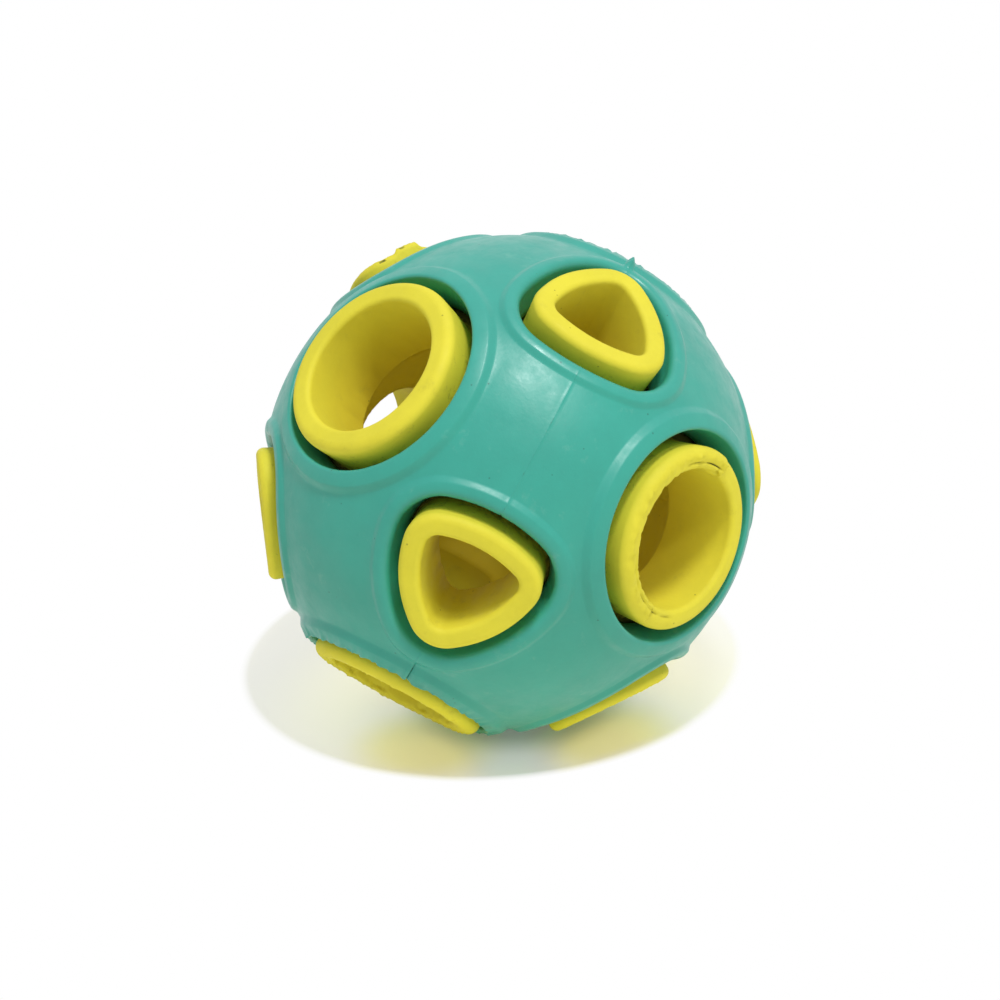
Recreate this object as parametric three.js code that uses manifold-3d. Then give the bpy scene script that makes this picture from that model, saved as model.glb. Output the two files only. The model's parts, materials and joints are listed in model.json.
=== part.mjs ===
// Rubber chew ball.
// A soft shell of two bonded halves has six round and eight three-cornered windows, each with a raised lip.
// A hollow inner ball of two bonded halves sits loose in the shell, and its collars stand in the windows.
// Millimetres, +Z up. The origin is under the middle of the ball, on the surface that it rests on.

import * as THREE from 'three';
import { mergeVertices } from 'three/addons/utils/BufferGeometryUtils.js';
import Module from 'manifold-3d';

// Shell
const shellRadius = 37.5;
const shellWall = 5.5;
const lipHeight = 0.7;
const lipWidth = 3.1;
const lipFlank = 1.1;
const windowOffset = 5;
const windowEdgeRound = 1;
const shellSeamTrim = 0.65;
const shellSeamGap = 0.3;
const restPatchRadius = 5;

// Inner ball and its collars
const ballClearance = 0.4;
const ballWall = 6.2;
const ballSeamGap = 0.3;
const collarDraft = 0.2;
const collarRimRound = 1.6;
const collarMouthRound = 1.1;
const boreDraft = 0.3;

// Round bores: the radius at the mouth, the collar's wall, and how far it ends inside the shell's sphere
const roundBoreRadius = 10.1;
const roundCollarWall = 3.4;
const roundCollarSetback = 1.2;

// Three-cornered bores: corner arcs on a circle round the axis, joined by wide side arcs
const corneredBoreSpread = 5.8;
const corneredBoreCornerRadius = 1.9;
const corneredBoreSideRadius = 15.9;
const corneredCollarWall = 3.1;
const corneredCollarSetback = 0.3;

// Facets
const roundSteps = 20;
const arcSteps = 3;
const rimSteps = 2;
const mouthSteps = 1;
const outerSphereDetail = 6;
const innerSphereDetail = 4;

// Colours and finishes
const shellColour = '#48a896';
const ballColour = '#e3d840';
const rubberRoughness = 0.55;

// Directions in the ball's own axes, which point through round openings.
// The shell's seam runs through two round and four three-cornered windows, the inner ball's through four round bores.
// Down is midway between two round openings.
const shellSeam = new THREE.Vector3(1, 0, -1).normalize();
const ballSeam = new THREE.Vector3(0, 0, 1);
const downAxis = new THREE.Vector3(0, -1, -1).normalize();

// Sizes that follow. Each shell half is trimmed at its seam and moved in, so the ball is that much smaller.
const shellInnerRadius = shellRadius - shellWall;
const ballRadius = shellInnerRadius - shellSeamTrim - ballClearance;
const cavityRadius = ballRadius - ballWall;
const lipCrestRadius = shellRadius + lipHeight;
const restPatchHeight = Math.sqrt(shellRadius ** 2 - restPatchRadius ** 2);
const centreHeight = restPatchHeight - shellSeamTrim * downAxis.dot(shellSeam);
const blockSize = 4 * shellRadius;

const wasm = await Module();
wasm.setup();

// A solid for joining and cutting, from a closed geometry.
function toSolid(geometry) {
  const bare = geometry.clone();
  bare.deleteAttribute('normal');
  bare.deleteAttribute('uv');
  const merged = mergeVertices(bare);
  const vertProperties = new Float32Array(merged.attributes.position.array);
  const triVerts = new Uint32Array(merged.index.array);
  return new wasm.Manifold(new wasm.Mesh({ numProp: 3, vertProperties, triVerts }));
}

// A geometry with flat facets, from a finished solid.
function toGeometry(solid) {
  const mesh = solid.getMesh();
  const geometry = new THREE.BufferGeometry();
  geometry.setAttribute('position', new THREE.BufferAttribute(mesh.vertProperties, mesh.numProp));
  geometry.setIndex(new THREE.BufferAttribute(mesh.triVerts, 1));
  geometry.computeVertexNormals();
  return geometry;
}

function sphere(radius, detail) {
  return toSolid(new THREE.IcosahedronGeometry(radius, detail));
}

// A large block whose one face lies the given distance along the direction, with the block beyond it.
function blockBeyond(direction, distance) {
  const geometry = new THREE.BoxGeometry(blockSize, blockSize, blockSize);
  geometry.translate(0, 0, blockSize / 2 + distance);
  const turn = new THREE.Quaternion().setFromUnitVectors(new THREE.Vector3(0, 0, 1), direction);
  geometry.applyQuaternion(turn);
  return toSolid(geometry);
}

// Outline of the round bore, widened by an offset.
function roundOutline(offset) {
  const points = [];
  for (let step = 0; step < roundSteps; step += 1) {
    const angle = (2 * Math.PI * step) / roundSteps;
    const radius = roundBoreRadius + offset;
    points.push(new THREE.Vector2(radius * Math.cos(angle), radius * Math.sin(angle)));
  }
  return points;
}

// Outline of the three-cornered bore, widened by an offset. The first corner lies along +X.
// Corner and side arcs meet tangentially, and an offset adds to every arc's radius.
function corneredOutline(offset) {
  const reach = corneredBoreSideRadius - corneredBoreCornerRadius;
  const chordHalf = corneredBoreSpread * Math.sin(Math.PI / 3);
  const chordDistance = corneredBoreSpread * Math.cos(Math.PI / 3);
  const sideShift = Math.sqrt(reach ** 2 - chordHalf ** 2) - chordDistance;
  const sideHalfAngle = Math.asin(chordHalf / reach);
  const points = [];
  for (let corner = 0; corner < 3; corner += 1) {
    const cornerAngle = (2 * Math.PI * corner) / 3;
    const sideAngle = cornerAngle + Math.PI / 3;
    const arcs = [
      {
        from: cornerAngle - Math.PI / 3 + sideHalfAngle,
        to: sideAngle - sideHalfAngle,
        radius: corneredBoreCornerRadius + offset,
        centre: new THREE.Vector2(Math.cos(cornerAngle), Math.sin(cornerAngle)).multiplyScalar(corneredBoreSpread),
      },
      {
        from: sideAngle - sideHalfAngle,
        to: sideAngle + sideHalfAngle,
        radius: corneredBoreSideRadius + offset,
        centre: new THREE.Vector2(Math.cos(sideAngle), Math.sin(sideAngle)).multiplyScalar(-sideShift),
      },
    ];
    for (const arc of arcs) {
      for (let step = 0; step < arcSteps; step += 1) {
        const angle = arc.from + ((arc.to - arc.from) * step) / arcSteps;
        const spoke = new THREE.Vector2(Math.cos(angle), Math.sin(angle)).multiplyScalar(arc.radius);
        points.push(arc.centre.clone().add(spoke));
      }
    }
  }
  return points;
}

// An outline laid at one height above the ball's centre.
function levelRing(outline, offset, height) {
  return outline(offset).map((point) => new THREE.Vector3(point.x, point.y, height));
}

// An outline laid on a sphere round the ball's centre.
function domedRing(outline, offset, radius) {
  return outline(offset).map((point) => {
    const height = Math.sqrt(radius ** 2 - point.lengthSq());
    return new THREE.Vector3(point.x, point.y, height);
  });
}

// A quarter round as pairs of steps across and up, from the foot of the curve to its top.
function quarterRound(radius, steps) {
  const pairs = [];
  for (let step = 0; step <= steps; step += 1) {
    const angle = (Math.PI / 2) * (step / steps);
    pairs.push({ across: radius * (1 - Math.cos(angle)), up: radius * Math.sin(angle) });
  }
  return pairs;
}

// A closed loft through rings of matching points, with a fan over each end.
function loft(rings) {
  const steps = rings[0].length;
  const points = rings.flat();
  const bottom = points.length;
  const top = bottom + 1;
  for (const ring of [rings[0], rings[rings.length - 1]]) {
    const middle = new THREE.Vector3();
    ring.forEach((point) => middle.addScaledVector(point, 1 / steps));
    points.push(middle);
  }
  const last = (rings.length - 1) * steps;
  const faces = [];
  for (let step = 0; step < steps; step += 1) {
    const next = (step + 1) % steps;
    for (let start = 0; start < last; start += steps) {
      faces.push(start + step, start + next, start + steps + next);
      faces.push(start + step, start + steps + next, start + steps + step);
    }
    faces.push(bottom, next, step);
    faces.push(top, last + step, last + next);
  }
  const geometry = new THREE.BufferGeometry().setFromPoints(points);
  geometry.setIndex(faces);
  return geometry;
}

// The raised lip, as a plug with a sloped flank and a flat band. The window is cut through it later.
function lipPlug({ outline }) {
  const foot = windowOffset + lipWidth;
  return loft([
    domedRing(outline, foot + lipFlank, shellRadius - lipHeight),
    domedRing(outline, foot - lipFlank, lipCrestRadius),
    domedRing(outline, windowOffset + windowEdgeRound / 2, lipCrestRadius),
  ]);
}

// The window, cut with a wall along its axis and an edge that rolls out to the lip's crest.
function windowCutter({ outline }) {
  const rollFoot = lipCrestRadius - windowEdgeRound;
  const rings = [domedRing(outline, windowOffset, ballRadius - ballClearance)];
  for (const { across, up } of quarterRound(windowEdgeRound, rimSteps)) {
    rings.push(domedRing(outline, windowOffset + across, rollFoot + up));
  }
  rings.push(domedRing(outline, windowOffset + windowEdgeRound, lipCrestRadius + shellWall));
  return loft(rings);
}

// A collar before its bore is cut: a drafted wall, a rounded rim and a flat end.
function collarPlug({ outline, wall, endHeight }) {
  const rings = [domedRing(outline, wall + collarDraft, ballRadius - ballWall / 2)];
  for (const { across, up } of quarterRound(collarRimRound, rimSteps)) {
    rings.push(levelRing(outline, wall - across, endHeight - collarRimRound + up));
  }
  return loft(rings);
}

// The bore, a little narrower inside, with a small round at its mouth.
function boreCutter({ outline, wall, endHeight }) {
  const rings = [levelRing(outline, -boreDraft, cavityRadius / 2)];
  for (const { across, up } of quarterRound(collarMouthRound, mouthSteps)) {
    rings.push(levelRing(outline, across, endHeight - collarMouthRound + up));
  }
  rings.push(levelRing(outline, collarMouthRound, endHeight + wall));
  return loft(rings);
}

// Moves a geometry made along +Z onto an axis of the ball, with its +X side turned towards a second axis.
function onAxis(geometry, axis, towards) {
  const side = towards.clone().addScaledVector(axis, -towards.dot(axis)).normalize();
  const across = new THREE.Vector3().crossVectors(axis, side);
  return geometry.applyMatrix4(new THREE.Matrix4().makeBasis(side, across, axis));
}

// The fourteen axes: round openings on a cube's faces, three-cornered ones on its corners.
const faceAxes = [];
for (const sign of [1, -1]) {
  faceAxes.push({ axis: new THREE.Vector3(sign, 0, 0), towards: new THREE.Vector3(0, 1, 0) });
  faceAxes.push({ axis: new THREE.Vector3(0, sign, 0), towards: new THREE.Vector3(0, 0, 1) });
  faceAxes.push({ axis: new THREE.Vector3(0, 0, sign), towards: new THREE.Vector3(1, 0, 0) });
}
const cornerAxes = [];
for (const x of [1, -1]) {
  for (const y of [1, -1]) {
    for (const z of [1, -1]) {
      cornerAxes.push({ axis: new THREE.Vector3(x, y, z).normalize(), towards: new THREE.Vector3(x, 0, 0) });
    }
  }
}
const roundKind = {
  outline: roundOutline,
  wall: roundCollarWall,
  endHeight: shellRadius - roundCollarSetback,
};
const corneredKind = {
  outline: corneredOutline,
  wall: corneredCollarWall,
  endHeight: shellRadius - corneredCollarSetback,
};
const openings = [
  ...faceAxes.map((place) => ({ ...place, kind: roundKind })),
  ...cornerAxes.map((place) => ({ ...place, kind: corneredKind })),
];

// One kind of feature at every opening, as solids.
function atEveryOpening(make) {
  return openings.map(({ axis, towards, kind }) => toSolid(onAxis(make(kind), axis, towards)));
}

function joinAll(base, solids) {
  return solids.reduce((whole, solid) => whole.add(solid), base);
}

function cutAll(base, solids) {
  return solids.reduce((whole, solid) => whole.subtract(solid), base);
}

// The shell, with its lips, hollow, windows and the small flat that soft rubber makes where it rests
function wholeShell() {
  const lipped = joinAll(sphere(shellRadius, outerSphereDetail), atEveryOpening(lipPlug));
  const hollow = lipped.subtract(sphere(shellInnerRadius, innerSphereDetail));
  const windowed = cutAll(hollow, atEveryOpening(windowCutter));
  return windowed.subtract(blockBeyond(downAxis, restPatchHeight));
}

// The inner ball, with its collars, cavity and bores
function wholeBall() {
  const collared = joinAll(sphere(ballRadius, innerSphereDetail), atEveryOpening(collarPlug));
  const hollow = collared.subtract(sphere(cavityRadius, innerSphereDetail));
  return cutAll(hollow, atEveryOpening(boreCutter));
}

// The half of a moulding on one side of its seam, moved in by what was trimmed there.
function halfOf(whole, seamNormal, seamTrim, seamGap) {
  const half = whole.intersect(blockBeyond(seamNormal, seamTrim + seamGap / 2));
  return half.translate(seamNormal.clone().multiplyScalar(-seamTrim).toArray());
}

function rubber(colour) {
  return new THREE.MeshStandardMaterial({ color: colour, roughness: rubberRoughness, metalness: 0 });
}

function piece(name, solid, colour) {
  const mesh = new THREE.Mesh(toGeometry(solid), rubber(colour));
  mesh.name = name;
  return mesh;
}

const shell = wholeShell();
const ball = wholeBall();
const leftSeam = shellSeam.clone().negate();
const backSeam = ballSeam.clone().negate();

const chewBall = new THREE.Group();
chewBall.add(piece('shell_half_right', halfOf(shell, shellSeam, shellSeamTrim, shellSeamGap), shellColour));
chewBall.add(piece('shell_half_left', halfOf(shell, leftSeam, shellSeamTrim, shellSeamGap), shellColour));
chewBall.add(piece('inner_ball_half_front', halfOf(ball, ballSeam, 0, ballSeamGap), ballColour));
chewBall.add(piece('inner_ball_half_back', halfOf(ball, backSeam, 0, ballSeamGap), ballColour));

// The ball stands with one round opening up at the front and one at each side.
chewBall.rotation.x = Math.PI / 4;
chewBall.position.z = centreHeight;

const model = new THREE.Group();
model.add(chewBall);

export default model;
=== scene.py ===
"""Looks of a rubber chew ball: two shell halves, two inner ball halves and the plain stage they stand on."""

import collections
import itertools
import json
import math

import bmesh
import bpy
from bpy.props import FloatProperty, FloatVectorProperty, IntProperty, PointerProperty
from mathutils import Matrix, Quaternion, Vector, noise


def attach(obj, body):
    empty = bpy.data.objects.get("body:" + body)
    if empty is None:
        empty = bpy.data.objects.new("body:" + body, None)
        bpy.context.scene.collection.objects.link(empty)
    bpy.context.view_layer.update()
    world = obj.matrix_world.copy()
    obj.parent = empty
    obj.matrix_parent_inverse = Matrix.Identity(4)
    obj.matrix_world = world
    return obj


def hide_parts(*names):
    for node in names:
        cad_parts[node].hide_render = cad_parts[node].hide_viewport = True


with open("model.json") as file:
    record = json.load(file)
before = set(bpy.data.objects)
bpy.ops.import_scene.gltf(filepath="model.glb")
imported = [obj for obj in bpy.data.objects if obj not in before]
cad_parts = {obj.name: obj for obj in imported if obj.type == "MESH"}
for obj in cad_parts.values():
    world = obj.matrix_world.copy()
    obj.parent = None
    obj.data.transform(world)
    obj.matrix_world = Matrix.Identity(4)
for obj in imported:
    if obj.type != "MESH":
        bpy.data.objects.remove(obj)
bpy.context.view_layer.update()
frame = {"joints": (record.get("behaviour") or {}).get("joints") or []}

bl_info = {
    "name": "Rubber Chew Ball",
    "version": (1, 0, 0),
    "blender": (4, 5, 0),
    "location": "View3D > Sidebar > Chew Ball",
    "description": "Models a two-colour rubber chew ball and the stage it is shown on",
    "category": "Add Mesh",
}

MM = 0.001

# Where the ball stands

# The hinge of the inner ball gives the ball's centre and the axis through its side openings.
HINGE = frame["joints"][0]
CENTRE = Vector(HINGE["pos_m"])
SIDE_AXIS = Vector(HINGE["axis"])

# The openings lie on a cube's faces and corners, and the cube is turned to stand on an edge.
STAND = Matrix.Translation(CENTRE) @ Matrix.Rotation(math.radians(45), 4, SIDE_AXIS)
CORNER_ANGLE = math.acos(1 / math.sqrt(3))

# Seams and their marks

# Each seam is a plane through the ball's centre, given by its normal in the cube's own axes.
SHELL_SEAM = Vector((1, 0, -1)).normalized()
BALL_SEAM = Vector((0, 0, 1))

# Directions in each seam's plane that the turn of a mark is counted from.
SHELL_SEAM_START = Vector((0, 1, 0))
BALL_SEAM_START = Vector((1, 0, 0))

# One mark on a seam: its turn along the seam and half its length, in degrees, then half its width across
# the seam and its rise, in millimetres, and the side of the seam it is on, or 0 for both.
Mark = collections.namedtuple("Mark", "turn reach width rise side", defaults=(0,))

# A seam: the normal of its plane, the direction that turns are counted from, and its marks.
Seam = collections.namedtuple("Seam", "normal start marks")

# A torn nub of flash at the back window, a nick in the front window, and an open groove below it with
# one lip standing proud.
SHELL_MARKS = (
    Mark(30.5, 2.2, 0.9, 1.8),
    Mark(108.5, 0.9, 0.3, -0.45),
    Mark(155, 6, 0.25, -0.4),
    Mark(155, 6, 0.9, 0.25, -1),
)

# Tears across the end of the side collar.
BALL_MARKS = (Mark(19.5, 1.8, 0.25, -0.6), Mark(342, 2.2, 0.25, -0.6))

# The ridge of flash along a seam: its usual share of the flash height, how much that swings, and how far
# apart its swells lie.
RIDGE_LEVEL = 0.7
RIDGE_SWING = 0.9
RIDGE_SPACING = 2.4 * MM

# Torn flash on the ridge: how far apart the tears lie, the level of their pattern that they start at, how
# high they stand in flash heights, and the spacing of the patches that they come in, with a shift of it.
FLASH_TEAR_SPACING = 0.7 * MM
FLASH_TEAR_LEVEL = 0.1
FLASH_TEAR_HEIGHT = 8
FLASH_PATCH_SPACING = 7 * MM
FLASH_PATCH_SHIFT = Vector((4, 0, 0))

# How uneven a mark's rise is, and how far apart its lumps lie.
MARK_SWING = 0.4
MARK_SPACING = 0.8 * MM

# Openings and their wear

# One ring of an opening's profile: how far it lies outside the bore's outline, either the radius of the
# sphere or the height of the plane that it lies on, how deep its edge is bitten, how far tears sink it, how
# far torn flash stands up from it, and how much dirt or painted shade it holds, from 0 to 1.
Ring = collections.namedtuple(
    "Ring", "offset radius height ragged sunk torn grime", defaults=(None, None, 0.0, 0.0, 0.0, 0.0)
)

# One opening: its axis, the side that its outline starts from, the outline, its collar's wall, setback and
# outer rim, the height of its window's lip, the roll of its window's edge and the draft of its window's wall,
# and its wear.
Opening = collections.namedtuple("Opening", "axis towards outline wall setback rim lip edge draft wear")

# A stretch of a collar's end that stands proud or is worn down: its turn round the opening and half its
# length, in degrees, its rise, in millimetres, and how much dirt it holds, from 0 to 1.
Chip = collections.namedtuple("Chip", "turn reach rise dirt", defaults=(0,))

# Wear of one opening, in millimetres: how much of the collar is trimmed off and how much more behind the
# inner ball's seam, where it is cut clean, how much thinner its wall is, how deep the edges of the collar's
# mouth, the bore's inner end and the window are bitten, the height of the torn flash that stands round the
# window, and the collar's chips.
Wear = collections.namedtuple(
    "Wear", "trim step thin mouth inner window flash chips", defaults=(0, 0, 0, 0.06, 0.2, 0.06, 0, ())
)

# The upper left collar: a torn stretch stands proud, the end beyond it is worn down, and two chips are dirty.
UPPER_LEFT_CHIPS = (
    Chip(155, 14, 0.75),
    Chip(218, 52, -0.75),
    Chip(129, 4, -0.1, 0.75),
    Chip(149, 4, -0.1, 0.75),
)

# The openings that differ from the usual, by their direction in the cube's own axes.
WEAR = {
    (1, 0, 0): Wear(trim=0.6, step=0.4, thin=0.3, mouth=1.5),
    (0, 1, 0): Wear(trim=0.8, flash=0.3, window=0.2),
    (0, -1, 0): Wear(mouth=0.9, window=0.6, flash=0.45),
    (-1, 1, 1): Wear(mouth=0.3, chips=UPPER_LEFT_CHIPS),
    (1, -1, 1): Wear(inner=1.5),
    (1, -1, -1): Wear(trim=0.35, mouth=0.4, window=0.6),
    (1, 1, -1): Wear(trim=0.3),
}

# How steeply a chip's ends rise, and the part of a collar's rim, in rim radii, that holds a chip's dirt.
CHIP_STEEPNESS = 4
CHIP_DIRT_START = 0.1
CHIP_DIRT_END = 0.5

# Weights of the small jags and the broad bites in a torn edge, how much further apart the bites lie, the
# share of torn flash that stands even between jags, and the share of a mouth's bites that lifts its rim.
JAG_WEIGHT = 0.9
BITE_WEIGHT = 0.6
BITE_SPREAD = 2.5
TORN_LEVEL = 0.4
RIM_TEAR = 0.3

# Tears along a mouth: how far they reach in front of the inner ball's seam and behind it, and the level, the
# swing and the spacing of the breaks in them.
TEAR_REACH_FRONT = 9 * MM
TEAR_REACH_BACK = 5 * MM
TEAR_LEVEL = 0.8
TEAR_SWING = 1.4
TEAR_BREAK_SPACING = 1.6 * MM

# Layer of dirt and painted shade on each vertex: painted shade in the gaps round the collars, dirt in tears
# and seams.
DIRT_AND_SHADE_LAYER = "grime"

# How much dirt or painted shade the rubber holds: dirt specks with painted shade in the crease at a lip's
# foot, painted shade in the gap round a collar and how much of that is lost up a collar's root, and dirt
# where a collar's rim starts, in a mouth's tears, per millimetre of a torn inner edge, and at a seam.
LIP_FOOT_DIRT_AND_SHADE = 0.2
GAP_PAINTED_SHADE = 1.0
ROOT_SHADE_LOST = 0.5
RIM_GRIME = 0.22
TEAR_GRIME = 1.0
INNER_EDGE_GRIME = 0.2
SEAM_GRIME = 0.4

# How finely the mouldings are divided

# Steps in the lip's flank, the window's roll and wall, and a collar's root, rim, mouth and bore.
LIP_STEPS = 8
ROLL_STEPS = 8
WALL_STEPS = 4
ROOT_STEPS = 4
RIM_STEPS = 8
MOUTH_STEPS = 5
BORE_STEPS = 3

# Extra cuts in each edge along a seam, where the flash is modelled.
SEAM_CUTS = 3

# From one gentle wave of a moulded surface to the next.
WAVE_SPACING = 9 * MM

# The cage's faces that lie flat within this angle are one, and its points and turns are told apart by these.
FLAT_ANGLE = math.radians(1)
CAGE_TOLERANCE = 1e-4
TURN_TOLERANCE = 1e-4

# Vertices closer than these are one, in a whole ball and at a cut.
MERGE_DISTANCE = 0.001 * MM
CUT_TOLERANCE = 0.002 * MM


# Properties


def linear_colour(code):
    """Linear red, green and blue of an sRGB hex colour."""
    channels = [int(code[start:start + 2], 16) / 255 for start in (0, 2, 4)]
    return [c / 12.92 if c <= 0.04045 else ((c + 0.055) / 1.055) ** 2.4 for c in channels]


def length(name, description, size_mm):
    """A length property with its default in millimetres."""
    return FloatProperty(name=name, description=description, default=size_mm * MM, unit="LENGTH", precision=5)


def angle(name, description, size_degrees):
    """An angle property with its default in degrees."""
    turn = math.radians(size_degrees)
    return FloatProperty(name=name, description=description, default=turn, subtype="ANGLE")


def paint(name, description, code):
    """A colour property with its default as an sRGB hex colour."""
    return FloatVectorProperty(
        name=name, description=description, default=linear_colour(code), subtype="COLOR", min=0, max=1
    )


class ChewBallSizes(bpy.types.PropertyGroup):
    """Sizes of the shell, the inner ball and the marks of moulding."""

    shell_radius: length("Shell radius", "Outside of the shell between its lips", 37.5)
    shell_wall: length("Shell wall", "Thickness of the shell", 5.5)
    seam_trim: length("Seam trim", "Taken off each shell half where the two are bonded", 0.65)
    lip_height: length("Round lip height", "Rise of the lip round each round window", 0.7)
    cornered_lip_height: length("Cornered lip height", "Rise of the lip round each cornered window", 0.5)
    lip_width: length("Lip width", "From the window's wall to the lip's foot", 3.1)
    lip_flank: length("Lip flank", "Width of the slope at the lip's foot", 0.9)
    window_edge_round: length("Round window edge", "Radius of the roll into each round window", 0.8)
    cornered_edge_round: length("Cornered window edge", "Radius of the roll into each cornered window", 1.7)
    round_window_draft: length("Round window draft", "How much narrower a round window is inside", 1.1)
    cornered_window_draft: length("Cornered draft", "How much narrower a cornered window is inside", 1.15)
    crossed_window_draft: length("Crossed draft", "How much narrower a window on the seam is inside", 0.7)
    window_offset: length("Window offset", "From a bore's outline to the wall of its window", 5)
    ball_clearance: length("Ball clearance", "Between the shell and the inner ball", 0.4)
    ball_wall: length("Ball wall", "Thickness of the inner ball", 5.6)
    round_collar_wall: length("Round collar wall", "Thickness of a round collar at its end", 3.4)
    cornered_collar_wall: length("Cornered collar wall", "Thickness of a cornered collar at its end", 3.1)
    collar_waist: length("Collar waist", "How much thinner a collar's wall is at its root", 0.4)
    collar_rim_round: length("Round rim", "Radius of a round collar's outer rim", 1.4)
    cornered_rim_round: length("Cornered rim", "Radius of a cornered collar's outer rim", 1.1)
    collar_mouth_round: length("Mouth round", "Radius of a bore's mouth", 0.75)
    root_fillet: length("Root fillet", "Fillet between a collar and the inner ball", 0.8)
    inner_edge_round: length("Inner edge", "Round where a wall meets a hollow", 0.5)
    bore_draft: length("Bore draft", "How much narrower a bore is inside", 0.3)
    round_bore_radius: length("Round bore", "Radius of the round bores", 10.2)
    round_collar_setback: length("Round setback", "Round collar's end inside the shell radius", 1.2)
    cornered_bore_spread: length("Corner spread", "From a bore's middle to its corner arcs", 5.8)
    cornered_corner_radius: length("Corner radius", "Radius of the corner arcs", 1.9)
    cornered_side_radius: length("Side radius", "Radius of the side arcs", 15.9)
    cornered_collar_setback: length("Cornered setback", "Cornered collar's end inside the shell radius", 0.3)
    flash_width: length("Flash width", "Half width of the ridge along a seam", 0.2)
    flash_height: length("Flash height", "Usual height of the ridge along a seam", 0.07)
    unevenness: length("Unevenness", "Gentle waves of the moulded surface", 0.06)
    mouth_tear: length("Mouth tear", "Depth of the tear beside a seam along a mouth", 0.6)
    mouth_tear_width: length("Tear width", "Half width of the tear along a mouth", 0.22)
    tear_spacing: length("Tear spacing", "From one jag of a torn edge to the next", 0.42)
    grime_depth: length("Grime depth", "Depth of a seam's groove that holds the most dirt", 0.4)
    seam_pinch: length("Seam pinch", "How far from the seam the shell halves draw in", 12)
    cage_cuts: IntProperty(
        name="Cuts", description="Cuts in each edge of the cage", default=23, min=3, max=31
    )


class ChewBallFinish(bpy.types.PropertyGroup):
    """Colours of the two rubbers and the floor."""

    shell_colour: paint("Shell", "Blue-green rubber of the shell", "32A293")
    ball_colour: paint("Inner ball", "Yellow rubber of the inner ball", "E3D83F")
    floor_colour: paint("Floor", "Pale floor under the ball", "F6F6F2")


class ChewBallView(bpy.types.PropertyGroup):
    """Where the camera stands."""

    azimuth: angle("Azimuth", "Turn of the camera round the ball, from its front", 45.8)
    elevation: angle("Elevation", "Height of the camera above the horizon", 21.6)
    roll: angle("Roll", "Lean of the camera", -2.8)
    distance: length("Distance", "From the camera to the ball's centre", 286)
    lens: FloatProperty(
        name="Lens",
        description="Focal length on a 36 mm sensor",
        subtype="DISTANCE_CAMERA",
        default=67.8,
    )
    shift_x: FloatProperty(name="Shift X", description="Shift to the picture's framing", default=-0.0072)
    shift_y: FloatProperty(name="Shift Y", description="Shift to the picture's framing", default=-0.018)


# Outlines of the bores


def round_outline(sizes, offset, count):
    """Points of the round bore's outline, widened by an offset."""
    radius = sizes.round_bore_radius + offset
    turns = [2 * math.pi * index / count for index in range(count)]
    return [Vector((radius * math.cos(turn), radius * math.sin(turn))) for turn in turns]


def cornered_outline(sizes, offset, count):
    """Points of the three-cornered bore's outline, widened by an offset, from one corner round.

    Corner arcs and wide side arcs meet tangentially. Points are spaced evenly along the outline
    of the collar's wall, and keep their direction at every offset.
    """
    reach = sizes.cornered_side_radius - sizes.cornered_corner_radius
    chord_half = sizes.cornered_bore_spread * math.sin(math.pi / 3)
    side_shift = math.sqrt(reach**2 - chord_half**2) - sizes.cornered_bore_spread * math.cos(math.pi / 3)
    side_half = math.asin(chord_half / reach)
    corner_half = math.pi / 3 - side_half
    corner_run = (sizes.cornered_corner_radius + sizes.cornered_collar_wall) * corner_half
    side_run = (sizes.cornered_side_radius + sizes.cornered_collar_wall) * side_half
    sixth = count // 6
    points = []
    for index in range(count):
        nearest = round(index / (2 * sixth))
        corner = nearest * 2 * math.pi / 3
        along = (index - nearest * 2 * sixth) / sixth * (corner_run + side_run)
        run = abs(along)
        side = math.copysign(1, along)
        if run <= corner_run:
            turn = corner + side * run / corner_run * corner_half
            centre = Vector((math.cos(corner), math.sin(corner))) * sizes.cornered_bore_spread
            radius = sizes.cornered_corner_radius + offset
        else:
            middle = corner + side * math.pi / 3
            turn = corner + side * (corner_half + (run - corner_run) / side_run * side_half)
            centre = Vector((math.cos(middle), math.sin(middle))) * -side_shift
            radius = sizes.cornered_side_radius + offset
        points.append(centre + Vector((math.cos(turn), math.sin(turn))) * radius)
    return points


# Profiles of the openings, from the outside of a wall to its inside


def shares(count):
    """Even shares from 0 to 1, ends included."""
    return [index / count for index in range(count + 1)]


def ball_radius(sizes):
    """Outside of the inner ball, which clears the trimmed shell."""
    return sizes.shell_radius - sizes.shell_wall - sizes.seam_trim - sizes.ball_clearance


def window_profile(sizes, opening):
    """Rings of a window: the lip's flank, its band, the roll, the wall and the inner edge."""
    wall = sizes.window_offset
    crest = sizes.shell_radius + opening.lip
    ragged = opening.wear.window * MM
    flash = opening.wear.flash * MM
    inner = sizes.shell_radius - sizes.shell_wall
    rings = []
    for share in shares(LIP_STEPS):
        rise = share * share * (3 - 2 * share)
        across = sizes.lip_width - sizes.lip_flank * share
        # Dirt specks and painted shade in the crease at the lip's foot.
        grime = LIP_FOOT_DIRT_AND_SHADE if share < 0.5 else 0.0
        rings.append(Ring(wall + across, sizes.shell_radius + opening.lip * rise, grime=grime))
    rings.append(Ring(wall + opening.edge, crest, torn=flash))
    for share in shares(ROLL_STEPS)[1:]:
        turn = share * math.pi / 2
        across = opening.edge * (1 - math.sin(turn))
        drop = opening.edge * (1 - math.cos(turn))
        rings.append(Ring(wall + across, crest - drop, ragged=ragged * share, torn=flash * (1 - share)))
    top = crest - opening.edge
    low = inner + sizes.inner_edge_round
    for share in shares(WALL_STEPS)[1:]:
        rings.append(Ring(wall - opening.draft * share, top + (low - top) * share))
    rings.append(Ring(wall - opening.draft + sizes.inner_edge_round, inner))
    return rings


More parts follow.
